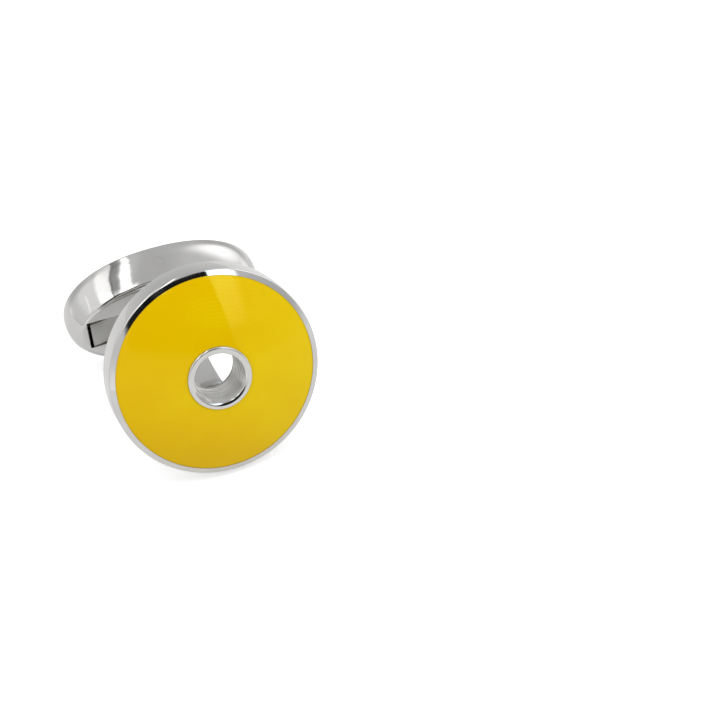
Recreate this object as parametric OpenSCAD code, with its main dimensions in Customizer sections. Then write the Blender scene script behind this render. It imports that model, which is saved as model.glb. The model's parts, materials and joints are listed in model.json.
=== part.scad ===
// Cufflink: a round head with a domed enamel ring round an open eyelet, a curved
// post on the head's back, and an oval toggle that swivels on a pin in the post's end.
//
// It is drawn as it lies on a table, toggle behind the head: +X along the toggle,
// +Y from the head towards the toggle, +Z up. The origin is on the table, under the
// middle of the whole cufflink.
//
// Each piece is drawn on the head's own axis first: z runs from the head's flat back
// towards the toggle, y runs towards the table. lying() then lays it down.

/* [Head] */
// Diameter of the head
head_d = 18; // [15:0.5:21]
// Height of the head, from the flat back to the top of the lip
head_h = 2.8; // [2.3:0.1:3.5]
// Thickness of the cup's floor
floor_t = 0.9; // [0.6:0.1:1.2]
// Width of the bright lip round the enamel
lip_w = 0.5; // [0.35:0.05:0.8]
// Radius of the edge between the back and the side wall
back_r = 0.3; // [0.2:0.05:0.5]
// Radius of the lip's outer edge
lip_r = 0.25; // [0.1:0.05:0.3]

/* [Enamel] */
// How far the enamel climbs from the lip to the eyelet
dome_rise = 1.35; // [0.85:0.1:1.75]
// How far the enamel's outer edge lies below the lip
enamel_drop = 0.04; // [0.02:0.01:0.1]

/* [Eyelet] */
// Diameter of the open bore through the head
bore_d = 4.3; // [3.4:0.1:4.8]
// Wall of the eyelet
eyelet_wall = 0.6; // [0.4:0.05:0.8]
// How far the eyelet's round rim stands above the enamel
eyelet_proud = 0.15; // [0.05:0.05:0.3]
// Radius of the bore's edge at the back
mouth_r = 0.15; // [0.05:0.05:0.25]

/* [Post] */
// Width of the post, along the toggle
post_w = 2.2; // [1.8:0.1:2.6]
// Depth of the post where it enters the toggle
post_neck = 2.2; // [2:0.1:2.5]
// Depth of the post at its foot on the head
post_foot = 1.4; // [1:0.1:2]
// How far the curve of the post's back is pulled out over the heel
heel_swell = 1.65; // [1:0.05:2]
// Distance between the edge of the bore and the post's foot
foot_gap = 0.1; // [0.05:0.05:0.3]
// Length of the straight stretch of the post next to the toggle
post_straight = 3.5; // [3:0.25:5]
// Distance from the head's back to the centre of the toggle's inner face
grip = 13.9; // [13:0.25:15.5]
// Tilt of the toggle, and of the straight stretch, against the head
toggle_tilt = 18.5; // [14:0.5:24]
// How far the toggle's centre lies off the head's axis, away from the table
toggle_off = 0.35; // [0:0.05:0.7]

/* [Toggle] */
// Length of the toggle
toggle_l = 18.5; // [16:0.5:21]
// Width of the toggle
toggle_w = 11; // [9.8:0.2:12.2]
// Thickness of the toggle at its rim
toggle_h = 3.4; // [3.3:0.1:4]
// Crown of the toggle's outer face above its rim
crown = 0.45; // [0.25:0.05:0.7]
// Height above the inner face at which the toggle is widest and its side turns upright
side_h = 2.6; // [2.2:0.1:2.8]
// How far the inner face is drawn in from the widest line, on the long sides
side_in = 1.7; // [1.4:0.1:2]
// Radius of the outer face's edge
edge_r = 0.4; // [0.2:0.05:0.6]
// Fullness of the oval: 2 is an ellipse, more is squarer
fullness = 2.2; // [2:0.05:2.6]
// Length of the slot in the inner face
slot_l = 14.8; // [14:0.2:15.2]

/* [Hinge] */
// Diameter of the hinge pin
pin_d = 1; // [0.8:0.1:1.2]
// Depth of the pin's axis below the toggle's inner face
pin_depth = 1.3; // [1.2:0.05:1.4]
// Running clearance round the pin in the post
pin_play = 0.04; // [0.02:0.01:0.08]
// Gap between the post and each side of the slot
slot_play = 0.3; // [0.2:0.05:0.4]
// How far the round of the post's end stands out past the post's half width
cam_ease = 0.1; // [0.05:0.01:0.15]
// How far the flat on the post's end is cut back from its round
flat_cut = 0.15; // [0.1:0.05:0.2]

/* [Leaf spring] */
// Thickness of the leaf spring
leaf_t = 0.25; // [0.2:0.05:0.3]
// Depth of the spring's ends below the toggle's inner face
leaf_end = 0.5; // [0.4:0.05:0.8]
// Gap between the spring and the round of the post's end
leaf_gap = 0.1; // [0.08:0.02:0.16]
// Room under the spring's middle to bend
leaf_room = 0.3; // [0.2:0.05:0.35]

/* [Hidden] */
$fn = 96;

over = 0.5;                         // overrun of every cut
fit = 0.01;                         // gap between pieces that are set in one another
silver = "silver";

head_r = head_d / 2;
well_r = head_r - lip_w;            // inside of the cup
bore_r = bore_d / 2;
eyelet_r = bore_r + eyelet_wall;
enamel_z = head_h - enamel_drop;    // enamel's outer edge, measured up from the back
crest_z = enamel_z + dome_rise;    // enamel's edge at the eyelet
eyelet_z = crest_z + eyelet_proud;

// Radius of the ball that the enamel's surface is part of
dome_r = sqrt(pow((pow(well_r, 2) - pow(eyelet_r, 2) - pow(dome_rise, 2))
              / (2 * dome_rise), 2) + pow(well_r, 2));
dome_z = crest_z - sqrt(pow(dome_r, 2) - pow(eyelet_r, 2));

toggle_a = toggle_l / 2;
toggle_b = toggle_w / 2;
slot_w = post_neck + 2 * slot_play;
pin_r = pin_d / 2;
cam_r = post_w / 2 + cam_ease;      // round on the post's end
cam_end = pin_depth + cam_r - flat_cut;
foot_front = bore_r + foot_gap;
foot_back = foot_front + post_foot;
post_steps = 14;
// Pulls of the post's two curves, as shares of the grip
front_pull_share = 0.27;
heel_pull_share = 0.13;
back_pull_share = 0.47;

// Leaf spring: an arc whose middle lies below the post's round
leaf_mid = pin_depth + cam_r + leaf_gap;
leaf_half = slot_l / 2 - slot_play / 2;
leaf_sag = leaf_mid - leaf_end;
leaf_r = (pow(leaf_half, 2) + pow(leaf_sag, 2)) / (2 * leaf_sag);
ledge_l = leaf_half / 8;            // length of each ledge that an end of the spring lies on
well_half = leaf_half - ledge_l;
ledge_z = leaf_mid - leaf_r + sqrt(pow(leaf_r + leaf_t, 2) - pow(well_half, 2)) + fit;

// One ring of the toggle's skin: an oval drawn in by d, less at its ends, scaled by s,
// at height z
ring_n = 72;
end_share = 0.7;
function power(v) = sign(v) * pow(abs(v), 2 / fullness);
function oval(d, s, z) = [for (i = [0:ring_n - 1]) let (a = 360 * i / ring_n)
    [s * (toggle_a - end_share * d) * power(cos(a)), s * (toggle_b - d) * power(sin(a)), z]];

// The toggle's section as [inset, height]: a gently bulged side, then the round edge
side_steps = 8;
edge_steps = 5;
pull_share = 0.55;
crown_shares = [0.85, 0.65, 0.4, 0.15];
function inset(p) = [-p[0], p[1]];
side = [for (i = [0:side_steps]) let (t = i / side_steps)
    [side_in * (1 - t) * (1 - t), side_h * t * (2 * (1 - t) * pull_share + t)]];
edge = [for (p = arc(-edge_r, toggle_h - edge_r, edge_r, 0, 90, edge_steps)) inset(p)];
section = concat(side, edge);
side_rings = [for (p = section) oval(p[0], 1, p[1])];
crown_rings = [for (s = crown_shares) oval(edge_r, s, toggle_h + crown * (1 - s * s))];
rings = concat(side_rings, crown_rings);
ring_count = len(rings);

// Where a point [y, z] of the toggle lies on the head's axes
function from_toggle(p) = [p[0] * cos(toggle_tilt) - p[1] * sin(toggle_tilt) - toggle_off,
                           grip + p[0] * sin(toggle_tilt) + p[1] * cos(toggle_tilt)];

// How the cufflink leans when the head's rim and a point p of the toggle touch the table
function touch_lean(p) =
    let (dy = head_r - back_r - p[0], dz = p[1] + back_r)
    atan2(dy, dz) + asin(back_r / norm([dy, dz]));
lean = min([for (p = section) touch_lean(from_toggle([toggle_b - p[0], p[1]]))]);

// Where a point [y, z] on the head's axes lies once the cufflink leans
function lean_y(p) = p[1] * cos(lean) - p[0] * sin(lean);
function lean_z(p) = -p[0] * cos(lean) - p[1] * sin(lean);

front_y = min(lean_y([head_r - lip_r, lip_r - head_h]) - lip_r,
              lean_y([bore_r, 0] + [eyelet_wall / 2, eyelet_wall / 2 - eyelet_z])
              - eyelet_wall / 2);
back_y = max([for (r = rings) for (p = r) lean_y(from_toggle([p[1], p[2]]))]);
rim_z = lean_z([head_r - back_r, -back_r]) - back_r;
low_z = min(rim_z, min([for (r = rings) for (p = r) lean_z(from_toggle([p[1], p[2]]))]));

module lying()
    translate([0, -(front_y + back_y) / 2, -low_z]) rotate([-90 - lean, 0, 0]) children();
module at_hinge() at_toggle() translate([0, 0, pin_depth]) rotate([90, 0, 0]) children();
module at_toggle() translate([0, -toggle_off, grip]) rotate([toggle_tilt, 0, 0]) children();

// Points of an arc, as [radius or y, height] pairs
function arc(cx, cz, r, from, to, n) =
    [for (i = [0:n]) let (a = from + (to - from) * i / n) [cx + r * cos(a), cz + r * sin(a)]];

// The cup: flat back with a round edge, side wall, round lip and a well for the enamel
module head_cup() color(silver) lying() mirror([0, 0, 1])
    rotate_extrude() polygon(concat(
        [[eyelet_r + fit, 0]],
        arc(head_r - back_r, back_r, back_r, -90, 0, edge_steps),
        arc(head_r - lip_r, head_h - lip_r, lip_r, 0, 90, edge_steps),
        [[well_r, head_h], [well_r, floor_t], [eyelet_r + fit, floor_t]]));

// The enamel ring: fills the well and rises in a dome towards the eyelet
module enamel_ring() color("gold") lying() mirror([0, 0, 1])
    rotate_extrude() intersection() {
        translate([eyelet_r + fit, floor_t])
            square([well_r - eyelet_r - 2 * fit, crest_z]);
        translate([0, dome_z]) circle(r = dome_r, $fn = 720);
    }

// The eyelet: a tube through the head with a round front rim and an eased edge at the back
module centre_eyelet() color(silver) lying() mirror([0, 0, 1])
    rotate_extrude() {
        polygon(concat(arc(bore_r + mouth_r, mouth_r, mouth_r, 180, 270, edge_steps),
                       [[eyelet_r, 0], [eyelet_r, eyelet_z - eyelet_wall / 2],
                        [bore_r, eyelet_z - eyelet_wall / 2]]));
        translate([bore_r + eyelet_wall / 2, eyelet_z - eyelet_wall / 2])
            circle(d = eyelet_wall, $fn = 48);
    }

// A curve from a to d with its pulls at b and c
function bezier(a, b, c, d) = [for (i = [0:post_steps]) let (t = i / post_steps, u = 1 - t)
    u * u * u * a + 3 * u * u * t * b + 3 * u * t * t * c + t * t * t * d];

// One side of the post, [y, z], from its foot to the straight stretch beside the toggle
function post_side(foot, foot_pull, neck, neck_pull) =
    let (neck_at = from_toggle([neck, -post_straight]),
         pull_at = from_toggle([neck, -post_straight - neck_pull]))
    bezier([foot, 0], [foot, 0] + foot_pull, pull_at, neck_at);

// Outline of the post seen along the toggle: front, straight end, then the swelling back
module post_outline() {
    front = post_side(foot_front, [0, front_pull_share * grip],
                      -post_neck / 2, front_pull_share * grip);
    back = post_side(foot_back, [heel_swell, heel_pull_share * grip],
                     post_neck / 2, back_pull_share * grip);
    polygon(concat(front, [from_toggle([-post_neck / 2, cam_end]),
                           from_toggle([post_neck / 2, cam_end])],
                   [for (i = [post_steps:-1:0]) back[i]]));
}

// The post: rounded about the pin at its end, with the flat that the spring bears on
module post() color(silver) lying() difference() {
    rotate([90, 0, 90]) linear_extrude(post_w, center = true) post_outline();
    at_hinge() linear_extrude(2 * post_neck, center = true) difference() {
        translate([-post_w, 0]) square([2 * post_w, post_w]);
        circle(r = cam_r);
    }
    at_hinge() cylinder(r = pin_r + pin_play, h = 2 * post_neck, center = true);
}

// The toggle with no slot: each ring is joined to the next, and the ends are closed
module toggle_skin() {
    points = concat([for (r = rings) each r], [[0, 0, 0], [0, 0, toggle_h + crown]]);
    last = (ring_count - 1) * ring_n;
    polyhedron(points, concat(
        [for (k = [0:ring_count - 2]) for (i = [0:ring_n - 1])
            let (j = (i + 1) % ring_n, p = k * ring_n)
            each [[p + i, p + ring_n + i, p + ring_n + j], [p + i, p + ring_n + j, p + j]]],
        [for (i = [0:ring_n - 1]) [ring_count * ring_n, i, (i + 1) % ring_n]],
        [for (i = [0:ring_n - 1]) [ring_count * ring_n + 1, last + (i + 1) % ring_n, last + i]]));
}

module toggle_body() color(silver) lying() difference() {
    at_toggle() toggle_skin();
    // slot down to the ledges, and the deeper well under the spring
    at_toggle() translate([-slot_l / 2, -slot_w / 2, -over]) cube([slot_l, slot_w, over + ledge_z]);
    at_toggle() translate([-well_half, -slot_w / 2, 0])
        cube([2 * well_half, slot_w, leaf_mid + leaf_t + leaf_room]);
    at_hinge() cylinder(r = pin_r + fit, h = toggle_w + over, center = true);
}

// The pin: its ends are ground to the curve of the toggle's sides
module hinge_pin() color(silver) lying() intersection() {
    at_hinge() cylinder(r = pin_r, h = toggle_w, center = true);
    at_toggle() rotate([90, 0, 90]) linear_extrude(2 * pin_d, center = true) polygon(concat(
        [for (p = section) [toggle_b - p[0] - fit, p[1]]],
        [for (i = [len(section) - 1:-1:0]) [section[i][0] + fit - toggle_b, section[i][1]]]));
}

// The spring: a bowed strip whose ends lie on the ledges
module leaf_spring() color("gray") lying() at_toggle()
    rotate([90, 0, 0]) linear_extrude(slot_w - slot_play, center = true)
        intersection() {
            translate([-leaf_half, 0]) square([2 * leaf_half, leaf_mid + leaf_t]);
            translate([0, leaf_mid - leaf_r]) difference() {
                circle(r = leaf_r + leaf_t, $fn = 360);
                circle(r = leaf_r, $fn = 360);
            }
        }

head_cup();
enamel_ring();
centre_eyelet();
post();
toggle_body();
hinge_pin();
leaf_spring();
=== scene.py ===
# %% [markdown]
# A swivel cufflink, dressed for its portrait.
#
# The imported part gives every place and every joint. This lesson puts smooth, finished
# pieces round it: a turned cup and eyelet, a domed ring of yellow enamel, a forged
# post, an oval toggle, and the pin and leaf spring inside the toggle.

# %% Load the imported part
import json
import math

import bmesh
import bpy
from mathutils import Matrix, Vector


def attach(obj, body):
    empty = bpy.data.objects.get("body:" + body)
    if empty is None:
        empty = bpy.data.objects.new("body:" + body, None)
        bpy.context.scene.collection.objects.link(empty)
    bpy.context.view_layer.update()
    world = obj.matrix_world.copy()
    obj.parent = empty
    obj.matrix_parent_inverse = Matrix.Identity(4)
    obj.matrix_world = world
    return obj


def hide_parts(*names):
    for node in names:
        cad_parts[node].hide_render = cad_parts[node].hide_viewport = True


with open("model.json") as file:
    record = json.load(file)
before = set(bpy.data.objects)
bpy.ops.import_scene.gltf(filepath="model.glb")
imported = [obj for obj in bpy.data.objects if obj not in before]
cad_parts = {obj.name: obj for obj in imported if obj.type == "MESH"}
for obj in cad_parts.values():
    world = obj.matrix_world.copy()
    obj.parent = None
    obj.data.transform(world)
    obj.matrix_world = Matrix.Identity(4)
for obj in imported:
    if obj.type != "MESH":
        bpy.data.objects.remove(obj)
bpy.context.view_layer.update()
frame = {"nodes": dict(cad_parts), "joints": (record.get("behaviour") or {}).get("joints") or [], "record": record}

print("nodes:", sorted(frame["nodes"]))

# %% [markdown]
# The real pieces are small, so their sizes are written in millimetres and scaled once,
# when a mesh is put in its place. These are the sizes that the part's source uses, apart
# from those few where the finished piece is a little softer or closer than its solid.

# %% Sizes in millimetres
MM = 0.001
HEAD_R, HEAD_H, FLOOR_T = 9.0, 2.8, 0.9
LIP_W, BACK_R, LIP_ROUND, LIP_PROUD = 0.5, 0.3, 0.16, 0.03
DOME_RISE, ENAMEL_DROP = 1.35, 0.04
BORE_R, EYELET_WALL, EYELET_PROUD, MOUTH_R = 2.15, 0.6, 0.15, 0.15
POST_W, POST_NECK, POST_FOOT, HEEL_SWELL = 2.2, 2.2, 1.4, 1.65
FOOT_GAP, POST_STRAIGHT = 0.1, 3.5
GRIP, TILT, TOGGLE_OFF = 13.9, math.radians(18.5), 0.35
TOGGLE_A, TOGGLE_B, TOGGLE_H, CROWN = 9.25, 5.5, 3.4, 0.45
SIDE_H, SIDE_IN, SIDE_PULL, END_SHARE = 2.6, 1.7, 0.55, 0.6
EDGE_R, FULLNESS, SOFT_EDGE = 0.4, 2.2, 0.35
SLOT_HALF, SLOT_PLAY, SLOT_CHAMFER = 7.65, 0.3, 0.05
PIN_R, PIN_DEPTH, PIN_PLAY, CAM_EASE, FLAT_CUT = 0.5, 1.3, 0.04, 0.1, 0.15
LEAF_T, LEAF_END, LEAF_GAP, LEAF_ROOM = 0.25, 0.11, 0.1, 0.3
FIT = 0.01

WELL_R = HEAD_R - LIP_W
EYELET_R = BORE_R + EYELET_WALL
ENAMEL_Z = HEAD_H - ENAMEL_DROP
CREST_Z = ENAMEL_Z + DOME_RISE
EYELET_Z = CREST_Z + EYELET_PROUD
DOME_R = math.hypot((WELL_R**2 - EYELET_R**2 - DOME_RISE**2) / (2 * DOME_RISE), WELL_R)
DOME_Z = CREST_Z - math.sqrt(DOME_R**2 - EYELET_R**2)
SLOT_W = POST_NECK + 2 * SLOT_PLAY
CAM_R = POST_W / 2 + CAM_EASE
CAM_END = PIN_DEPTH + CAM_R - FLAT_CUT
LEAF_MID = PIN_DEPTH + CAM_R + LEAF_GAP
LEAF_HALF = SLOT_HALF - SLOT_PLAY
LEAF_SAG = LEAF_MID - LEAF_END
print(f"dome radius {DOME_R:.2f} mm, spring bowed by {LEAF_SAG:.2f} mm")

# %% [markdown]
# A cufflink on a table leans: the head's rim and the toggle's side touch it. Each piece
# is drawn upright on its own axis, and one matrix lays it down. That matrix is read from
# the imported part's bore, and the hinge's distance from the part's joint is printed.

# %% The place of the head and of the toggle
bore = next(m for m in frame["record"]["mounts"] if m["name"] == "eyelet_bore")
hinge = frame["joints"][0]
to_toggle = -Vector(bore["axis"]).normalized()
table_ward = Vector((0, to_toggle.z, -to_toggle.y))
bore_middle = (EYELET_Z - EYELET_WALL / 2 + MOUTH_R) / 2
head_back = Vector(bore["pos_m"]) + to_toggle * bore_middle * MM

HEAD_PLACE = Matrix.Translation(head_back) @ Matrix(
    ((1, table_ward.x, to_toggle.x), (0, table_ward.y, to_toggle.y),
     (0, table_ward.z, to_toggle.z))).to_4x4() @ Matrix.Scale(MM, 4)
TOGGLE_TURN = Matrix.Translation((0, -TOGGLE_OFF, GRIP)) @ Matrix.Rotation(TILT, 4, "X")
TOGGLE_PLACE = HEAD_PLACE @ TOGGLE_TURN
miss = (TOGGLE_PLACE @ Vector((0, 0, PIN_DEPTH)) - Vector(hinge["pos_m"])).length
print(f"the hinge lands {miss / MM:.3f} mm from the packed joint")

# %% [markdown]
# Shader and geometry maths reads badly as rows of nodes. A small class wraps a socket,
# so that ordinary Python expressions add the Math nodes, and a bench makes every
# other node from its type, its settings and its sockets.

# %% Sockets that Python can add and multiply
class Wire:
    def __init__(self, bench, socket):
        self.bench, self.socket = bench, socket

    def math(self, operation, other=None, swapped=False):
        first, second = (other, self) if swapped else (self, other)
        return self.bench.node("ShaderNodeMath", {"operation": operation}, {0: first, 1: second})

    def __add__(self, other): return self.math("ADD", other)
    def __radd__(self, other): return self.math("ADD", other, True)
    def __sub__(self, other): return self.math("SUBTRACT", other)
    def __rsub__(self, other): return self.math("SUBTRACT", other, True)
    def __mul__(self, other): return self.math("MULTIPLY", other)
    def __rmul__(self, other): return self.math("MULTIPLY", other, True)
    def __truediv__(self, other): return self.math("DIVIDE", other)
    def __rtruediv__(self, other): return self.math("DIVIDE", other, True)
    def __pow__(self, other): return self.math("POWER", other)

    def out(self, name):
        """Another output of the same node."""
        return Wire(self.bench, self.socket.node.outputs[name])


class Bench:
    def __init__(self, tree):
        self.tree = tree

    def node(self, kind, settings=None, sockets=None, out=0):
        made = self.tree.nodes.new(kind)
        for key, value in (settings or {}).items():
            setattr(made, key, value)
        for key, value in (sockets or {}).items():
            if isinstance(value, Wire):
                self.tree.links.new(value.socket, made.inputs[key])
            elif value is not None:
                made.inputs[key].default_value = value
        return Wire(self, made.outputs[out]) if made.outputs else made

    def ramp(self, value, low, high, to_low=0.0, to_high=1.0, smooth=True):
        """Runs from to_low to to_high while the value runs from low to high."""
        kind = {"interpolation_type": "SMOOTHSTEP" if smooth else "LINEAR", "clamp": True}
        return self.node("ShaderNodeMapRange", kind, {
            "Value": value, "From Min": low, "From Max": high,
            "To Min": to_low, "To Max": to_high})


print("bench ready")

# %% [markdown]
# Every finish starts from the place of a point on its own piece, in millimetres. The
# Mapping node undoes the matrix that laid the piece down, so a ring pattern
# stays centred on the bore and grain runs along the spring.

# %% Shared steps of a finish
def own_place(bench, place):
    """The point as a vector, and its x, y and z."""
    where = bench.node("ShaderNodeTexCoord", out="Object")
    turned = bench.node("ShaderNodeMapping", {"vector_type": "TEXTURE"}, {
        "Vector": where, "Location": place.to_translation(),
        "Rotation": place.to_euler("XYZ"), "Scale": place.to_scale()})
    x = bench.node("ShaderNodeSeparateXYZ", sockets={"Vector": turned})
    return turned, x, x.out("Y"), x.out("Z")


def noise(bench, vector, scale, detail=3.0, stretch=None):
    if stretch:
        vector = bench.node("ShaderNodeMapping", sockets={"Vector": vector, "Scale": stretch})
    return bench.node("ShaderNodeTexNoise", {"noise_dimensions": "3D"}, {
        "Vector": vector, "Scale": scale, "Detail": detail})


def blend(bench, factor, first, second):
    return bench.node("ShaderNodeMix", {"data_type": "RGBA"}, {
        "Factor": factor, 6: first, 7: second}, out=2)


def new_finish(name):
    material = bpy.data.materials.new(name)
    material.use_nodes = True
    material.node_tree.nodes.clear()
    return material, Bench(material.node_tree)


def close_finish(bench, sockets, bump, strength, depth):
    """Ends a finish in the main shader; depth is the bump's height in millimetres."""
    sockets["Normal"] = bench.node("ShaderNodeBump", sockets={
        "Height": bump, "Strength": strength, "Distance": depth * MM})
    skin = bench.node("ShaderNodeBsdfPrincipled", sockets=sockets)
    bench.node("ShaderNodeOutputMaterial", sockets={"Surface": skin})


print("a finish is measured in millimetres from the axis of its piece")

# %% [markdown]
# Polished silver plate is a mirror with small faults: a buffing haze in soft patches,
# hairlines from the wheel, and a faint waviness that bends reflections. The faults go
# into roughness and a very shallow bump, because the colour of plate hardly varies.

# %% Polished silver
def polished_silver(name, place, haze):
    material, bench = new_finish(name)
    spot, *_ = own_place(bench, place)
    patches = bench.ramp(noise(bench, spot, 0.35, 4), 0.35, 0.7)
    hairs = bench.ramp(noise(bench, spot, 3.0, 6, (1, 1, 12)), 0.55, 0.75)
    waves = noise(bench, spot, 0.28, 2)
    bright, dull = (0.655, 0.65, 0.638, 1), (0.615, 0.61, 0.597, 1)
    close_finish(bench, {
        "Base Color": blend(bench, patches, bright, dull),
        "Metallic": 1.0,
        "Roughness": haze + 0.04 * patches + 0.03 * hairs,
    }, bump=waves + 0.02 * hairs, strength=0.35, depth=0.05)
    return material


head_silver = polished_silver("polished_silver_head", HEAD_PLACE, haze=0.03)
toggle_silver = polished_silver("polished_silver_toggle", TOGGLE_PLACE, haze=0.035)
print("polished:", head_silver.name, toggle_silver.name)

# %% [markdown]
# The eyelet is turned on a lathe. The tool leaves rings round the bore, so its finish is
# a band pattern along the axis, with a satin roughness inside and a polished front rim.
# One side of the bore is painted paler: painted light on that side.

# %% Turned silver
def turned_silver():
    material, bench = new_finish("turned_silver")
    spot, x, y, z = own_place(bench, HEAD_PLACE)
    wobble = noise(bench, spot, 1.2, 2)
    lines = (z * 15.0 + wobble * 3.0).math("SINE") * 0.5 + 0.5
    inside = bench.ramp(z, -EYELET_Z + 0.1, -EYELET_Z + 0.7)
    grain = noise(bench, spot, 6.0, 3, (0.4, 0.4, 6))
    ridge, groove = (0.66, 0.655, 0.64, 1), (0.58, 0.575, 0.56, 1)
    # painted light: one side of the bore is given a paler colour
    bright, painted_light_side = (0.83, 0.825, 0.8, 1), inside * bench.ramp(x, 1.7, -0.6)
    turned = blend(bench, inside * lines, ridge, groove)
    close_finish(bench, {
        "Base Color": blend(bench, painted_light_side, turned, bright),
        "Metallic": 1.0,
        "Roughness": 0.05 + inside * (0.14 + 0.1 * grain),
    }, bump=inside * (lines * 0.1 + grain), strength=0.5, depth=0.03)
    return material


eyelet_silver = turned_silver()
print("turned:", eyelet_silver.name)

# %% [markdown]
# Hard enamel is coloured glass that is ground and polished flush with the metal. Light
# goes into it a little, so the colour is deep and even, with faint engine-turned rings and
# rays under it. Painted shade makes it browner beside the metal and darker towards the
# table, and painted light makes its right side a little paler.

# %% Yellow enamel
def yellow_enamel():
    material, bench = new_finish("yellow_enamel")
    spot, x, y, z = own_place(bench, HEAD_PLACE)
    radius = (x * x + y * y).math("SQRT")
    angle = y.math("ARCTAN2", x)
    rays = (angle * 60.0 + 4.0 * noise(bench, spot, 0.5, 2)).math("SINE")
    rings = (radius * 19.0 + 9.0 * noise(bench, spot, 0.5, 3)).math("SINE")
    clear_side = 0.2 + 0.8 * bench.ramp(x * 0.6 - y * 0.8, 0.0, 5.5)
    pattern = clear_side * (rings * 0.65 + rays * rings * 0.55)

    clouds = noise(bench, spot, 0.22, 3)
    # random cloudy tone, and painted light: the x term makes the right side a little paler
    mix = bench.ramp(clouds + pattern * 0.1 + x * 0.03, 0.25, 0.8)
    # painted shade: the enamel is darker on its side towards the table
    foot = bench.ramp(y - x * 0.45, 4.0, 9.0)
    # painted shade: the enamel is browner in a narrow band beside the metal
    rim = (bench.ramp(radius, WELL_R - 0.25, WELL_R)
           + bench.ramp(radius, EYELET_R + 0.2, EYELET_R))
    deep, pale = (0.765, 0.485, 0.0005, 1), (0.79, 0.555, 0.001, 1)
    shaded, edge_shade = (0.69, 0.42, 0.001, 1), (0.60, 0.36, 0.002, 1)
    body = blend(bench, 0.7 * foot, blend(bench, mix, deep, pale), shaded)
    close_finish(bench, {
        "Base Color": blend(bench, rim * 0.15, body, edge_shade),
        "Roughness": 0.04 + 0.03 * clouds,
        "Specular IOR Level": 0.5,
        "Specular Tint": (1.0, 0.9, 0.17, 1),
        "Coat Weight": 0.06 * clouds,
        "Coat Roughness": 0.03,
    }, bump=clouds + 0.05 * pattern, strength=0.25, depth=0.05)
    return material


enamel = yellow_enamel()
print("enamel:", enamel.name)

# %% [markdown]
# The spring is blanked from rolled strip, so its grain runs lengthwise and stays dull.

# %% Spring steel
def spring_steel():
    material, bench = new_finish("spring_steel")
    spot, *_ = own_place(bench, TOGGLE_PLACE)
    grain = noise(bench, spot, 7.0, 5, (0.06, 1, 1))
    stain = noise(bench, spot, 0.6, 3)
    close_finish(bench, {
        "Base Color": blend(bench, stain, (0.40, 0.40, 0.385, 1), (0.50, 0.495, 0.475, 1)),
        "Metallic": 1.0,
        "Roughness": 0.24 + 0.14 * grain,
    }, bump=grain, strength=0.5, depth=0.02)
    return material


steel = spring_steel()
print("spring:", steel.name)

# %% [markdown]
# Every piece ends in the same few steps. Its points are merged and its faces turned
# outwards, its shading is smooth except at real edges, it gets its finish, it is tied to
# the body that it moves with, and the node it stands for is hidden.

# %% From a mesh to a finished piece
MERGE = 2e-4
CREASE, FINE_CREASE, RING_CREASE = 14.0, 24.0, 60.0


def as_object(name, points, faces):
    mesh = bpy.data.meshes.new(name)
    mesh.from_pydata(points, [], faces)
    piece = bpy.data.objects.new(name, mesh)
    bpy.context.collection.objects.link(piece)
    return piece


def outward(mesh, crease=CREASE):
    """Edges that turn by more than crease degrees stay sharp."""
    work = bmesh.new()
    work.from_mesh(mesh)
    bmesh.ops.remove_doubles(work, verts=work.verts, dist=MERGE)
    bmesh.ops.recalc_face_normals(work, faces=work.faces)
    for edge in work.edges:
        soft = edge.calc_face_angle(0) < math.radians(crease)
        edge.smooth = len(edge.link_faces) == 2 and soft
    for face in work.faces:
        face.smooth = True
    work.to_mesh(mesh)
    work.free()


def hand_over(piece, place, material, body, node, crease=CREASE):
    outward(piece.data, crease)
    piece.data.transform(place)
    piece.data.materials.clear()
    piece.data.materials.append(material)
    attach(piece, body)
    if node:
        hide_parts(node)
    piece.data.calc_loop_triangles()
    print(f"{piece.name}: {len(piece.data.loop_triangles)} triangles")
    return piece


print(f"edges over {CREASE:.0f} degrees stay sharp")

# %% [markdown]
# Three pieces are turned on a lathe in real life, and here too: a closed outline of
# radius and height is spun round the axis. An arc gives each edge its own round.

# %% A lathe for meshes
TURN_STEPS = 256


def arc(cx, cz, radius, start, end, steps):
    turns = [math.radians(start + (end - start) * i / steps) for i in range(steps + 1)]
    return [(cx + radius * math.cos(a), cz + radius * math.sin(a)) for a in turns]


def lathe(name, profile):
    """Turns a closed [radius, height] profile round the axis; height runs to the front."""
    points, faces, n = [], [], len(profile)
    for k in range(TURN_STEPS):
        a = 2 * math.pi * k / TURN_STEPS
        points += [(r * math.cos(a), r * math.sin(a), -h) for r, h in profile]
        for i in range(n):
            j, here, there = (i + 1) % n, k * n, ((k + 1) % TURN_STEPS) * n
            faces.append((here + i, here + j, there + j, there + i))
    return as_object(name, points, faces)


def dome_height(r):
    """Height of the ball that the enamel is ground to, at a distance from the axis."""
    return DOME_Z + math.sqrt(DOME_R**2 - r * r)


print(f"the dome is {dome_height(EYELET_R):.2f} mm high at the eyelet")

# %% [markdown]
# The cup is one turned shell: flat back, straight side, a lip and a well for the enamel.
# Lip and enamel are ground together, so the top of the lip goes on with the dome's slope.
# Every edge has its own small radius, which draws the lines round a polished piece.

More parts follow.
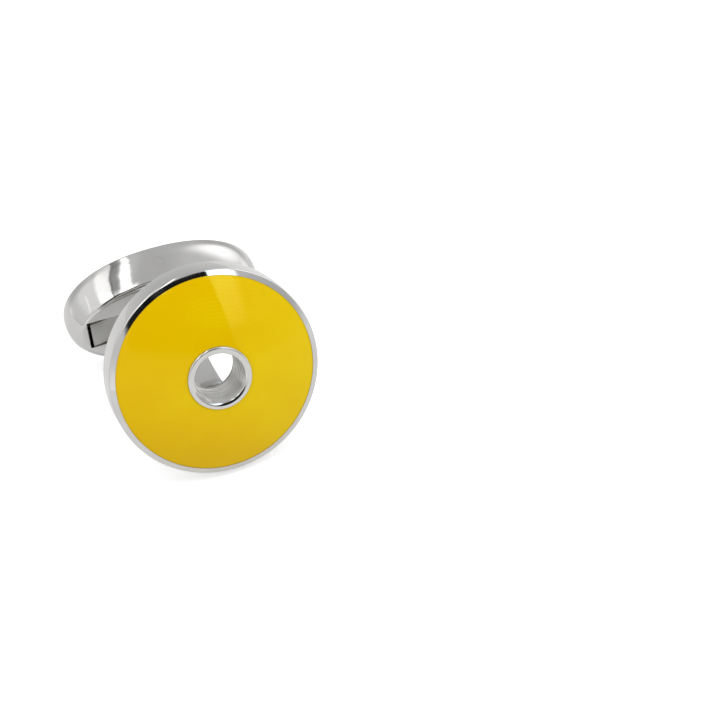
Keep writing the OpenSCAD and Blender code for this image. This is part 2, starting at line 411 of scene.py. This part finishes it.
# %% Head cup
EDGE_STEPS, LIP_STEP, LIP_MARGIN = 12, 0.05, 0.03
lip_r = HEAD_R - LIP_ROUND
lip_tilt = math.degrees(math.asin(lip_r / (DOME_R - LIP_ROUND)))
lip_z = DOME_Z + LIP_PROUD + math.sqrt((DOME_R - LIP_ROUND) ** 2 - lip_r**2)
lip_top = lip_r + LIP_ROUND * math.sin(math.radians(lip_tilt))
slope = [lip_top - i * LIP_STEP for i in range(1, 9)]
slope = [r for r in slope if r > WELL_R + LIP_MARGIN] + [WELL_R]
cup = lathe("head_cup_turned", (
    [(r, 0) for r in (EYELET_R + FIT, 4.0, 6.0, 8.0)]
    + arc(HEAD_R - BACK_R, BACK_R, BACK_R, -90, 0, EDGE_STEPS)
    + arc(lip_r, lip_z, LIP_ROUND, 0, 90 - lip_tilt, EDGE_STEPS)
    + [(r, dome_height(r) + LIP_PROUD) for r in slope]
    + [(WELL_R, FLOOR_T), (EYELET_R + FIT, FLOOR_T)]))
hand_over(cup, HEAD_PLACE, head_silver, "head", "head_cup")

# %% [markdown]
# The enamel fills the well and climbs to the eyelet as part of a large ball. Where it
# meets metal it turns down in a fine meniscus, which leaves a thin dark line there.

# %% Enamel ring
MENISCUS, DOME_STEPS = 0.01, 60
r_in, r_out = EYELET_R + FIT, WELL_R - FIT
dome = [(r_in, FLOOR_T)]
for i in range(DOME_STEPS + 1):
    r = r_in + (r_out - r_in) * i / DOME_STEPS
    edge = min(r - r_in, r_out - r) / MENISCUS
    fall = MENISCUS * (1 - math.sqrt(max(0.0, 1 - max(0.0, 1 - edge) ** 2)))
    dome.append((r, dome_height(r) - fall))
dome.append((r_out, FLOOR_T))
ring = lathe("enamel_ring_domed", dome)
hand_over(ring, HEAD_PLACE, enamel, "head", "enamel_ring")

# %% [markdown]
# The eyelet is a tube that lines the hole through the head. Its front is a flat ring
# that rolls softly into the bore, its outer edge is crisp and its back edge is eased.

# %% Centre eyelet
OUT_ROUND, ROLL_R, ROLL_TURN, IN_ROUND = 0.15, 0.62, 27, 0.12
roll_sine, roll_cosine = math.sin(math.radians(ROLL_TURN)), math.cos(math.radians(ROLL_TURN))
roll_r = BORE_R + IN_ROUND * (1 - roll_sine) + ROLL_R * roll_sine
roll_z = EYELET_Z - (ROLL_R - IN_ROUND) * (1 - roll_cosine)
eyelet = lathe("centre_eyelet_turned", (
    arc(BORE_R + MOUTH_R, MOUTH_R, MOUTH_R, 180, 270, 8)
    + [(EYELET_R, 0)]
    + arc(EYELET_R - OUT_ROUND, EYELET_Z - OUT_ROUND, OUT_ROUND, 0, 86, 10)
    + arc(roll_r, EYELET_Z - ROLL_R, ROLL_R, 90, 90 + ROLL_TURN, 10)[:-1]
    + arc(BORE_R + IN_ROUND, roll_z - IN_ROUND, IN_ROUND, 90 + ROLL_TURN, 180, 10)
    + [(BORE_R, h) for h in (3.0, 2.0, 1.0)]))
hand_over(eyelet, HEAD_PLACE, eyelet_silver, "head", "centre_eyelet")

# %% [markdown]
# Geometry Nodes suit what repeats and what follows a rule. Each tree is built here with
# named inputs, which are set by the identifiers of their sockets. The result is then
# turned into a plain mesh, so that the piece can be cut and tied like any other.

# %% Node trees with named inputs
def new_tree(name, inputs):
    group = bpy.data.node_groups.new(name, "GeometryNodeTree")
    group.interface.new_socket("Geometry", in_out="OUTPUT", socket_type="NodeSocketGeometry")
    for label, kind in inputs:
        group.interface.new_socket(label, in_out="INPUT", socket_type="NodeSocket" + kind)
    bench = Bench(group)
    source = bench.node("NodeGroupInput")
    return group, bench, {label: source.out(label) for label, _ in inputs}


def close_tree(bench, geometry, material):
    real = bench.node("GeometryNodeRealizeInstances", sockets={"Geometry": geometry})
    named = bench.node("GeometryNodeSetMaterial", sockets={
        "Geometry": real, "Material": material})
    bench.node("NodeGroupOutput", sockets={"Geometry": named})


def baked(piece):
    """Puts the result of a piece's modifiers in its own mesh."""
    graph = bpy.context.evaluated_depsgraph_get()
    solid = bpy.data.meshes.new_from_object(piece.evaluated_get(graph))
    piece.modifiers.clear()
    piece.data = solid
    return piece


def grow(name, group, values):
    piece = as_object(name, [(0, 0, 0)], [])
    step = piece.modifiers.new(group.name, "NODES")
    step.node_group = group
    for item in group.interface.items_tree:
        if item.in_out == "INPUT":
            step[item.identifier] = values[item.name]
    return baked(piece)


print("trees end in Realize Instances and Set Material")

# %% [markdown]
# The lathe tool leaves raised rings in the bore. They repeat along the axis, so the tree
# makes one ring from two circles and sets copies of it along a line. A fixed seed makes
# some rings wider than others.

# %% Rings left by the lathe tool
group, bench, given = new_tree("tool_rings", [
    ("Ring Radius", "Float"), ("Ridge Radius", "Float"), ("First", "Float"),
    ("Pitch", "Float"), ("Count", "Int"), ("Seed", "Int"), ("Material", "Material")])
path = bench.node("GeometryNodeCurvePrimitiveCircle", sockets={
    "Resolution": 160, "Radius": given["Ring Radius"]})
ridge = bench.node("GeometryNodeCurvePrimitiveCircle", sockets={
    "Resolution": 10, "Radius": given["Ridge Radius"]})
one_ring = bench.node("GeometryNodeCurveToMesh", sockets={"Curve": path, "Profile Curve": ridge})
line = bench.node("GeometryNodeMeshLine", sockets={
    "Count": given["Count"],
    "Start Location": bench.node("ShaderNodeCombineXYZ", sockets={"Z": given["First"]}),
    "Offset": bench.node("ShaderNodeCombineXYZ", sockets={"Z": given["Pitch"]})})
width = bench.node("FunctionNodeRandomValue", {"data_type": "FLOAT"}, {
    2: 0.8, 3: 1.5, "Seed": given["Seed"]}, out=1)
spread = bench.node("ShaderNodeCombineXYZ", sockets={"X": 1.0, "Y": 1.0, "Z": width})
rings = bench.node("GeometryNodeInstanceOnPoints", sockets={
    "Points": line, "Instance": one_ring, "Scale": spread})
close_tree(bench, rings, given["Material"])

RIDGE_R, RIDGE_PROUD = 0.18, 0.06
tool_rings = grow("tool_rings", group, {
    "Ring Radius": BORE_R + RIDGE_R - RIDGE_PROUD, "Ridge Radius": RIDGE_R,
    "First": -2.35, "Pitch": 0.42, "Count": 5, "Seed": 4, "Material": eyelet_silver})
hand_over(tool_rings, HEAD_PLACE, eyelet_silver, "head", None, RING_CREASE)

# %% [markdown]
# Bars, pins and springs are lofts: closed rings of the same count, joined one to the
# next and capped. A boolean cut then takes out what a drill or a mill takes out.

# %% Loft and cut
def loft(name, rings):
    """Joins closed rings of the same count and caps both ends."""
    n = len(rings[0])
    faces = [tuple(range(n)), tuple(reversed(range((len(rings) - 1) * n, len(rings) * n)))]
    for k in range(len(rings) - 1):
        faces += [(k * n + i, k * n + (i + 1) % n, (k + 1) * n + (i + 1) % n, (k + 1) * n + i)
                  for i in range(n)]
    return as_object(name, [p for ring in rings for p in ring], faces)


def cut(piece, cutters):
    for cutter in cutters:
        outward(cutter.data)
        step = piece.modifiers.new("cut", "BOOLEAN")
        step.object, step.operation, step.solver = cutter, "DIFFERENCE", "EXACT"
    baked(piece)
    for cutter in cutters:
        bpy.data.objects.remove(cutter)
    return piece


ROUND_STEPS = 96


def hinge_rod(name, radius, half):
    """A rod on the hinge's axis, for holes."""
    return loft(name, [[
        (radius * math.cos(2 * math.pi * k / ROUND_STEPS), y,
         PIN_DEPTH + radius * math.sin(2 * math.pi * k / ROUND_STEPS))
        for k in range(ROUND_STEPS)] for y in (-half, half)])


print(f"rods have {ROUND_STEPS} sides")

# %% [markdown]
# The post is drawn from bar and bent, with a swelling heel behind. Two curves give its
# front and back, and every station between them is a rectangle with round corners.
# Inside the toggle its end follows the round of the cam.

# %% Curves of the post
def bezier(a, b, c, d, t):
    u = 1 - t
    return a * u**3 + b * 3 * u * u * t + c * 3 * u * t * t + d * t**3


def toggle_point(y, z):
    """A point of the toggle's own frame, seen from the head's."""
    p = TOGGLE_TURN @ Vector((0, y, z))
    return Vector((p.y, p.z))


def post_side(foot, pull, neck, neck_pull, t):
    start = Vector((foot, 0))
    return bezier(start, start + Vector(pull), toggle_point(neck, -POST_STRAIGHT - neck_pull),
                  toggle_point(neck, -POST_STRAIGHT), t)


def station(front, back, half, corner=0.24, steps=6):
    """A rounded rectangle between a front and a back point, half as wide each way."""
    depth, ring = (back - front).length, []
    along = (back - front) / depth
    corner = min(corner, half * 0.9, depth * 0.45)
    for cx, cd, start in ((half, depth, 0), (-half, depth, 90), (-half, 0, 180), (half, 0, 270)):
        x0 = cx - math.copysign(corner, cx)
        d0 = cd - corner if cd else corner
        for x, d in arc(x0, d0, corner, start, start + 90, steps):
            p = front + along * d
            ring.append((x, p.x, p.y))
    return ring


print("a station has", len(station(Vector((0, 0)), Vector((1, 0)), 1)), "points")

# %% Post
FOOT_FRONT, HALF_NECK, HALF_POST = BORE_R + FOOT_GAP, POST_NECK / 2, POST_W / 2
BEND_STEPS, CAM_STEPS = 48, 12
FRONT_PULL, HEEL_PULL, BACK_PULL = 0.27 * GRIP, 0.13 * GRIP, 0.47 * GRIP


def neck_station(z, half):
    return station(toggle_point(-HALF_NECK, z), toggle_point(HALF_NECK, z), half)


stations = []
for i in range(BEND_STEPS + 1):
    t = i / BEND_STEPS
    front = post_side(FOOT_FRONT, (0, FRONT_PULL), -HALF_NECK, FRONT_PULL, t)
    back = post_side(FOOT_FRONT + POST_FOOT, (HEEL_SWELL, HEEL_PULL), HALF_NECK, BACK_PULL, t)
    stations.append(station(front, back, HALF_POST))
for i in range(1, CAM_STEPS + 1):
    z = -POST_STRAIGHT + (POST_STRAIGHT + PIN_DEPTH) * i / CAM_STEPS
    stations.append(neck_station(z, HALF_POST))
for i in range(1, CAM_STEPS + 1):
    up = (CAM_END - PIN_DEPTH) * i / CAM_STEPS
    stations.append(neck_station(PIN_DEPTH + up, min(HALF_POST, math.sqrt(CAM_R**2 - up**2))))
post = loft("post_forged", stations)
hole = hinge_rod("post_hole", PIN_R + PIN_PLAY, POST_NECK)
hole.data.transform(TOGGLE_TURN)
cut(post, [hole])
hand_over(post, HEAD_PLACE, head_silver, "head", "post", FINE_CREASE)

# %% [markdown]
# The toggle is a cast oval whose section is the same all the way round: a flat inner
# face, a bulged side, a plain band, a round edge and a low crown. A rule like that
# suits Geometry Nodes: a flat grid is wrapped round, one side of it becoming the angle
# and the other the way up the section. The shares of that way are the section's stretches.

# %% Tree of the toggle's skin
TO_SOFT, TO_SIDE, TO_BAND, TO_EDGE, TO_CROWN = 0.08, 0.22, 0.5, 0.54, 0.68

group, bench, given = new_tree("toggle_skin", [
    ("Half Length", "Float"), ("Half Width", "Float"), ("Fullness", "Float"),
    ("Side Height", "Float"), ("Side Inset", "Float"), ("Side Pull", "Float"),
    ("Side Start", "Float"), ("Soft Edge", "Float"), ("Soft Corner", "Float"),
    ("End Share", "Float"), ("Rim Height", "Float"), ("Edge Radius", "Float"),
    ("Crown", "Float"), ("Around", "Int"), ("Up", "Int"), ("Material", "Material")])
sheet = bench.node("GeometryNodeMeshGrid", sockets={
    "Size X": 1.0, "Size Y": 1.0, "Vertices X": given["Around"], "Vertices Y": given["Up"]})
flat = bench.node("ShaderNodeSeparateXYZ", sockets={
    "Vector": bench.node("GeometryNodeInputPosition")})
turn = (flat + 0.5) * (2 * math.pi)
way = flat.out("Y") + 0.5


def stretch(low, high):
    return bench.ramp(way, low, high, smooth=False)


def side(t):
    """Inset and height of the side, t running from the inner face to the widest line."""
    short = 1 - t
    return (given["Side Inset"] * short * short,
            given["Side Height"] * t * (2 * short * given["Side Pull"] + t))


def full(value):
    """Makes an ellipse's sine or cosine into a fuller oval's."""
    return value.math("SIGN") * value.math("ABSOLUTE") ** (2.0 / given["Fullness"])


eased = stretch(TO_SOFT, TO_SIDE)
sharp = 1 - eased
foot_in, foot_up = side(given["Side Start"])
side_in, side_up = side(
    given["Side Start"] + stretch(TO_SIDE, TO_BAND) * (1 - given["Side Start"]))
bend = stretch(TO_EDGE, TO_CROWN) * (math.pi / 2)
inset = ((given["Side Inset"] + given["Soft Edge"]) * sharp * sharp
         + 2 * eased * sharp * given["Soft Corner"] + (eased * eased - 1) * foot_in + side_in
         + given["Edge Radius"] * (1 - bend.math("COSINE")))
centre_share = stretch(TO_CROWN, 1.0)
band = given["Rim Height"] - given["Edge Radius"] - given["Side Height"]
height = ((eased * eased - 1) * foot_up + side_up + stretch(TO_BAND, TO_EDGE) * band
          + given["Edge Radius"] * bend.math("SINE")
          + given["Crown"] * (1 - (1 - centre_share) * (1 - centre_share)))
scale = stretch(0.0, TO_SOFT) * (1 - centre_share)
where = bench.node("ShaderNodeCombineXYZ", sockets={
    "X": scale * (given["Half Length"] - given["End Share"] * inset) * full(turn.math("COSINE")),
    "Y": scale * (given["Half Width"] - inset) * full(turn.math("SINE")), "Z": height})
skin = bench.node("GeometryNodeSetPosition", sockets={"Geometry": sheet, "Position": where})
closed = bench.node("GeometryNodeMergeByDistance", sockets={"Geometry": skin, "Distance": 0.001})
close_tree(bench, closed, given["Material"])
print("toggle's tree:", len(group.nodes), "nodes")

# %% Skin of the toggle
START = 0.09
start_in = SIDE_IN * (1 - START) ** 2
start_up = SIDE_H * START * (2 * (1 - START) * SIDE_PULL + START)
start_slope = (SIDE_IN * (1 - START)
               / (SIDE_H * (SIDE_PULL + START * (1 - 2 * SIDE_PULL))))
toggle = grow("toggle_body_cast", group, {
    "Half Length": TOGGLE_A, "Half Width": TOGGLE_B, "Fullness": FULLNESS,
    "Side Height": SIDE_H, "Side Inset": SIDE_IN, "Side Pull": SIDE_PULL,
    "Side Start": START, "Soft Edge": SOFT_EDGE, "Soft Corner": start_in + start_up * start_slope,
    "End Share": END_SHARE, "Rim Height": TOGGLE_H, "Edge Radius": EDGE_R, "Crown": CROWN,
    "Around": 289, "Up": 176, "Material": toggle_silver})
outward(toggle.data)
print("toggle skin:", len(toggle.data.polygons), "faces")

# %% [markdown]
# The slot is milled in the inner face, with a broken edge. A deeper well under its
# middle gives the spring room to bow, which leaves a ledge at each end for the spring to
# lie on, and a groove beyond each ledge lets the cutter run out. The pin's hole is drilled.

# %% Slot, well and pin hole
BOW_POWER, LEDGE_SHARE, RELIEF = 2.3, 1 / 8, 1.6


def leaf_depth(x):
    """Depth of the spring's face below the toggle's: flat at the ends, deep in the middle."""
    return LEAF_END + LEAF_SAG * (1 - (x / LEAF_HALF) ** 2) ** BOW_POWER


def box(name, *levels, middle=0.0):
    """A cutter through rectangles, each given as half its length, half its width, depth."""
    return loft(name, [
        [(middle + half_x, half_y, z), (middle - half_x, half_y, z),
         (middle - half_x, -half_y, z), (middle + half_x, -half_y, z)]
        for half_x, half_y, z in levels])


WELL_HALF, HALF_SLOT_W = LEAF_HALF * (1 - LEDGE_SHARE), SLOT_W / 2
LEDGE_Z = leaf_depth(WELL_HALF) + LEAF_T + 2 * FIT
wide = SLOT_CHAMFER
slot = box("slot_cutter", (SLOT_HALF + 2 * wide, HALF_SLOT_W + 2 * wide, -wide),
           (SLOT_HALF, HALF_SLOT_W, wide), (SLOT_HALF, HALF_SLOT_W, LEDGE_Z))
well = box("well_cutter", (WELL_HALF, HALF_SLOT_W, LEDGE_Z - 1),
           (WELL_HALF, HALF_SLOT_W, LEAF_MID + LEAF_T + LEAF_ROOM))
pin_hole = hinge_rod("pin_hole", PIN_R + FIT / 2, TOGGLE_B + 1)
relief_half = SLOT_PLAY - FIT
reliefs = [box("relief_cutter", (relief_half, HALF_SLOT_W, LEDGE_Z - 0.1),
               (relief_half, HALF_SLOT_W, RELIEF), middle=end * (SLOT_HALF - relief_half))
           for end in (-1, 1)]
cut(toggle, [slot, well, pin_hole] + reliefs)
hand_over(toggle, TOGGLE_PLACE, toggle_silver, "toggle", "toggle_body")

# %% [markdown]
# The hinge pin is a plain rod, driven in and ground flush, so its two ends carry the
# curve of the toggle's sides. A hairline edge is all that shows of it.

# %% Hinge pin
PIN_SHARES = (0.02, 0.25, 0.5, 0.75, 1.0)


def side_inset(z):
    """How far the toggle's side is drawn in at height z, from the same curve as side()."""
    a, b, c = 1 - 2 * SIDE_PULL, 2 * SIDE_PULL, -z / SIDE_H
    t = (math.sqrt(b * b - 4 * a * c) - b) / (2 * a)
    return SIDE_IN * (1 - t) ** 2


def pin_end(radius, end):
    ring = []
    for k in range(ROUND_STEPS):
        a = 2 * math.pi * k / ROUND_STEPS
        x, z = radius * math.cos(a), PIN_DEPTH + radius * math.sin(a)
        ring.append((x, end * (TOGGLE_B - FIT - side_inset(z)), z))
    return ring


pin = loft("hinge_pin_ground", [pin_end(PIN_R * s, -1) for s in PIN_SHARES]
           + [pin_end(PIN_R * s, 1) for s in reversed(PIN_SHARES)])
hand_over(pin, TOGGLE_PLACE, toggle_silver, "toggle", "hinge_pin", FINE_CREASE)

# %% [markdown]
# The leaf spring is a bowed strip whose ends lie on two ledges in the slot. The post's
# flat presses on its middle and holds the toggle straight or turned. It lies a little to
# one side of the slot, so that one gap is wider than the other.

# %% Leaf spring
LEAF_SHIFT, LEAF_CORNER, LEAF_STEPS, LEAF_CREASE = 0.12, 0.08, 96, 30.0
leaf_rings = []
for i in range(LEAF_STEPS + 1):
    x = LEAF_HALF * (2 * i / LEAF_STEPS - 1)
    front, back = Vector((0, leaf_depth(x))), Vector((0, leaf_depth(x) + LEAF_T))
    strip = station(front, back, (SLOT_W - SLOT_PLAY) / 2, LEAF_CORNER, 3)
    leaf_rings.append([(x, w + LEAF_SHIFT, d) for w, _, d in strip])
leaf = loft("leaf_spring_bowed", leaf_rings)
hand_over(leaf, TOGGLE_PLACE, steel, "toggle", "leaf_spring", LEAF_CREASE)

# %% [markdown]
# The camera stands in front and to the left, looking down, with a narrow view like a
# product picture's. Its three axes are worked out from two angles and a small roll.

# %% Camera
AZIMUTH, ELEVATION, ROLL = math.radians(-17.865), math.radians(36.253), math.radians(-5.786)
CAMERA_MM = Vector((-23.649, -121.591, 93.180))
back_way = Vector((math.sin(AZIMUTH) * math.cos(ELEVATION),
                   -math.cos(AZIMUTH) * math.cos(ELEVATION), math.sin(ELEVATION)))
level = Vector((0, 0, 1)).cross(back_way).normalized()
rise = back_way.cross(level)
right = level * math.cos(ROLL) + rise * math.sin(ROLL)
above = rise * math.cos(ROLL) - level * math.sin(ROLL)
camera = bpy.data.objects.new("camera", bpy.data.cameras.new("camera"))
camera.matrix_world = Matrix.Translation(CAMERA_MM * MM) @ Matrix(
    (right, above, back_way)).transposed().to_4x4()
camera.data.lens, camera.data.sensor_width = 85.0, 36.0
camera.data.clip_start, camera.data.clip_end = 0.01, 20.0
bpy.context.collection.objects.link(camera)
bpy.context.scene.camera = camera
print("camera at", [round(v, 4) for v in camera.location])

# %% [markdown]
# A polished piece shows its room more than itself. It stands on a white sweep that looks
# white to the camera, and a smaller share of that white goes into the metal, which
# would otherwise lose its tones. The paper itself takes the lamps' light and the shadow.

# %% White sweep
def looked_at(bench, in_metal=1.0):
    """One for rays from the camera, a share of it in mirrors and glass, zero for lighting."""
    path = bench.node("ShaderNodeLightPath")
    bounced = path.out("Is Glossy Ray").math("MAXIMUM", path.out("Is Transmission Ray"))
    return path.math("MAXIMUM", bounced * in_metal)


def floor_finish():
    material, bench = new_finish("white_sweep")
    where = bench.node("ShaderNodeTexCoord", out="Object")
    fibre = noise(bench, where, 900.0, 3)
    paper = bench.node("ShaderNodeBsdfDiffuse", sockets={
        "Color": blend(bench, fibre, (0.80, 0.80, 0.80, 1), (0.84, 0.84, 0.84, 1))})
    glow = bench.node("ShaderNodeEmission", sockets={"Color": (1, 1, 1, 1), "Strength": 0.5})
    dark = bench.node("ShaderNodeBsdfTransparent", sockets={"Color": (0, 0, 0, 1)})
    lift = bench.node("ShaderNodeMixShader", sockets={
        0: looked_at(bench, in_metal=0.1), 1: dark, 2: glow})
    both = bench.node("ShaderNodeAddShader", sockets={0: paper, 1: lift})
    bench.node("ShaderNodeOutputMaterial", sockets={"Surface": both})
    return material


FLOOR_HALF = 3.0
floor = as_object("white_floor", [
    (-FLOOR_HALF, -FLOOR_HALF, 0), (FLOOR_HALF, -FLOOR_HALF, 0),
    (FLOOR_HALF, FLOOR_HALF, 0), (-FLOOR_HALF, FLOOR_HALF, 0)], [(0, 1, 2, 3)])
floor.data.materials.append(floor_finish())
print("floor:", 2 * FLOOR_HALF, "m wide")

# %% [markdown]
# The surround is white to the camera and to mirrors, and a plain grey light for
# everything else. Three soft boxes shape the light from above, right and left.
# Mirrors don't see the boxes: what they show is hung round the piece in the next step.

# %% Surround and soft boxes
world = bpy.data.worlds.new("studio")
bpy.context.scene.world = world
world.use_nodes = True
world.node_tree.nodes.clear()
bench = Bench(world.node_tree)
surround, white = (bench.node("ShaderNodeBackground", sockets={
    "Color": (tone, tone, tone, 1), "Strength": 1.0}) for tone in (0.62, 1.0))
mixed = bench.node("ShaderNodeMixShader", sockets={0: looked_at(bench), 1: surround, 2: white})
bench.node("ShaderNodeOutputWorld", sockets={"Surface": mixed})


def softbox(name, azimuth, elevation, distance, width, height, radiance):
    a, e = math.radians(azimuth), math.radians(elevation)
    way = Vector((math.sin(a) * math.cos(e), -math.cos(a) * math.cos(e), math.sin(e)))
    lamp = bpy.data.lights.new(name, "AREA")
    lamp.shape, lamp.size, lamp.size_y = "RECTANGLE", width, height
    lamp.energy = radiance * math.pi * width * height
    holder = bpy.data.objects.new(name, lamp)
    holder.location = way * distance
    holder.rotation_euler = way.to_track_quat("Z", "Y").to_euler()
    holder.visible_glossy = False
    bpy.context.collection.objects.link(holder)


softbox("top_box", 0, 80, 0.5, 0.5, 0.35, 1.6)
softbox("right_box", 60, 35, 0.5, 0.25, 0.35, 1.8)
softbox("left_box", -75, 30, 0.5, 0.25, 0.3, 1.4)

# %% [markdown]
# Jewellery is photographed in a tent of white cloth. Only reflections see this one, so
# it blocks no view and casts no shadow. Its shapes are masks on a direction: x to the
# right, y away from the camera, z up, and seen from the middle also how far aside and
# how far up a point is for each step ahead.

# %% Directions in the tent
TENT_R = 0.17


class Cloth:
    """A place on the tent, in shares of its radius, and soft-edged shapes drawn there."""

    def __init__(self, bench):
        where = bench.node("ShaderNodeTexCoord", out="Object")
        apart = bench.node("ShaderNodeSeparateXYZ", sockets={"Vector": where})
        self.ramp = bench.ramp
        self.x, self.y, self.z = (apart.out(axis) / TENT_R for axis in "XYZ")
        self.folds = noise(bench, where, 22.0, 1) - 0.5
        self.front = self.ramp(self.y, 0.0, -0.2)
        self.back = self.ramp(self.y, 0.4, 0.75)
        ahead = (0.0 - self.y).math("MAXIMUM", 0.001)
        self.aside, self.up = self.x / ahead, self.z / ahead

    def patch(self, azimuth, elevation, inner, outer):
        """A round patch, full within inner degrees of its middle and gone beyond outer."""
        a, e = math.radians(azimuth), math.radians(elevation)
        facing = (self.x * (math.sin(a) * math.cos(e)) - self.y * (math.cos(a) * math.cos(e))
                  + self.z * math.sin(e))
        return self.ramp(facing, math.cos(math.radians(outer)), math.cos(math.radians(inner)))

    def between(self, value, low, high, soft_low, soft_high):
        return (self.ramp(value, low - soft_low, low + soft_low)
                * self.ramp(value, high + soft_high, high - soft_high))


print(f"tent radius {TENT_R} m")

# %% [markdown]
# The tent's broad cloths come first. The right wall glows most, because a lamp stands
# behind it, and the skirt near the table catches the paper's light.

# %% Walls and roof
def wall_light(cloth):
    ramp, x, z = cloth.ramp, cloth.x, cloth.z
    right_wall = cloth.patch(106, 38, 2, 44) ** 3.8
    right_roof = ramp(z, 0.4, 0.7) * ramp(x, 0.05, 0.6)
    right_foot = cloth.patch(85, 5, 10, 30) * ramp(z, 0.35, 0.2)
    left = ramp(x, -0.15, -0.45)
    left_wall = left * (1 - cloth.back)
    left_roof = ramp(z, 0.35, 0.6) * left
    skirt = ramp(z, 0.25, 0.0) * (1 - cloth.patch(-80, 0, 15, 40)) * (1 - 0.6 * cloth.back)
    return (0.9 * right_wall + 0.2 * right_roof + 0.6 * right_foot
            + 0.2 * left_wall + 0.2 * left_roof + 0.3 * skirt)


print("walls ready")

# %% [markdown]
# The tent is open where the camera looks in, which draws the black crescents on the lip
# and the eyelet and the deep zone on the enamel. Beside the opening a window of cool
# light draws the white ones, and the paler wedge on the enamel.

# %% Opening and window
def opening_shade(cloth):
    """What is left of the light: nearly none in the opening, a little less beside it."""
    ramp, aside, up, z = cloth.ramp, cloth.aside, cloth.up, cloth.z
    opening = (cloth.front * cloth.between(aside, -0.48, 0.335, 0.03, 0.01)
               * ramp(up + 0.32 * aside, 0.13, 0.23) * ramp(z, 0.682, 0.662)
               * ramp(up - 1.32 * aside, 1.34, 1.24))
    shade = (cloth.front * ramp(aside - 0.229 * up, 0.3, 0.4) * ramp(aside, 1.2, 0.8)
             * ramp(z, 0.28, 0.18))
    far_wall = cloth.patch(-80, 0, 12, 30) * ramp(z, 0.14, 0.0)
    return (1 - 0.98 * opening) * (1 - 0.3 * shade) * (1 - 0.12 * far_wall)


def window_mask(cloth):
    ramp, aside, z = cloth.ramp, cloth.aside, cloth.z
    return (cloth.front * ramp(aside, 0.325, 0.345) * ramp(aside - 0.229 * cloth.up, 0.46, 0.37)
            * cloth.between(z, 0.27, 0.70, 0.03, 0.04) * ramp(z, 0.2, 0.6, 0.3, 1.0))


print("opening and window ready")

# %% [markdown]
# Two lengths of cloth meet in the roof on the left. Where they meet there is a dark
# crease and a bright seam, and folds bend both a little. The toggle's long side shows
# them as the bands across it.

# %% Seams of the roof
def roof_seams(cloth):
    """The light that the seams and panels add, and what the crease leaves of it."""
    ramp, between, y, z = cloth.ramp, cloth.between, cloth.y, cloth.z
    high = ramp(z, 0.5, 0.66)
    bent = cloth.x / z.math("MAXIMUM", 0.2) - 0.1 * y + 0.05 * cloth.folds
    shelf = (cloth.front * between(bent, -0.64, 0.03, 0.06, 0.02)
             * between(z, 0.675, 0.78, 0.01, 0.03))
    left_panel = high * between(bent, -0.67, -0.35, 0.07, 0.015)
    crease = high * between(bent, -0.35, -0.235, 0.015, 0.035)
    fold_line = high * between(bent, -0.352, -0.315, 0.012, 0.02)
    seam = high * ramp(bent, -0.22, -0.185) * ramp(bent + 0.06 * y, -0.065, -0.095)
    halo = high * between(bent, -0.2, 0.0, 0.02, 0.06)
    streak = (ramp(z, 0.4, 0.5) * between(cloth.x, -0.76, -0.735, 0.014, 0.014)
              * ramp(y, 0.15, -0.1))
    added = 1.0 * shelf + 1.2 * seam + 0.5 * left_panel + 0.12 * halo + 0.3 * streak
    return added, (1 - 0.45 * crease) * (1 - 0.45 * fold_line)


print("seams ready")

# %% [markdown]
# The whole tent is one ball of cloth. Its light is kept in the colour, at strength one.

# %% Light tent
CLOTH_LEVEL, WINDOW_LEVEL, WINDOW_TINT = 0.60, 2.5, (0.68, 0.87, 1, 1)


def tent_finish():
    material, bench = new_finish("tent_cloth")
    cloth = Cloth(bench)
    window = window_mask(cloth)
    seams, creases = roof_seams(cloth)
    light = CLOTH_LEVEL + wall_light(cloth) + WINDOW_LEVEL * window + seams
    tint = blend(bench, window, (1, 1, 1, 1), WINDOW_TINT)
    colour = bench.node("ShaderNodeVectorMath", {"operation": "SCALE"}, {
        0: tint, "Scale": light * creases * opening_shade(cloth)})
    glow = bench.node("ShaderNodeEmission", sockets={"Color": colour, "Strength": 1.0})
    bench.node("ShaderNodeOutputMaterial", sockets={"Surface": glow})
    material.cycles.emission_sampling = "NONE"
    return material


work = bmesh.new()
bmesh.ops.create_icosphere(work, subdivisions=5, radius=TENT_R)
light_tent = as_object("light_tent", [], [])
work.to_mesh(light_tent.data)
work.free()
light_tent.data.materials.append(tent_finish())
light_tent.visible_camera = light_tent.visible_shadow = False
light_tent.visible_diffuse = light_tent.visible_transmission = False
bpy.context.scene.view_settings.view_transform = "Standard"
print("tent:", len(light_tent.data.polygons), "faces")
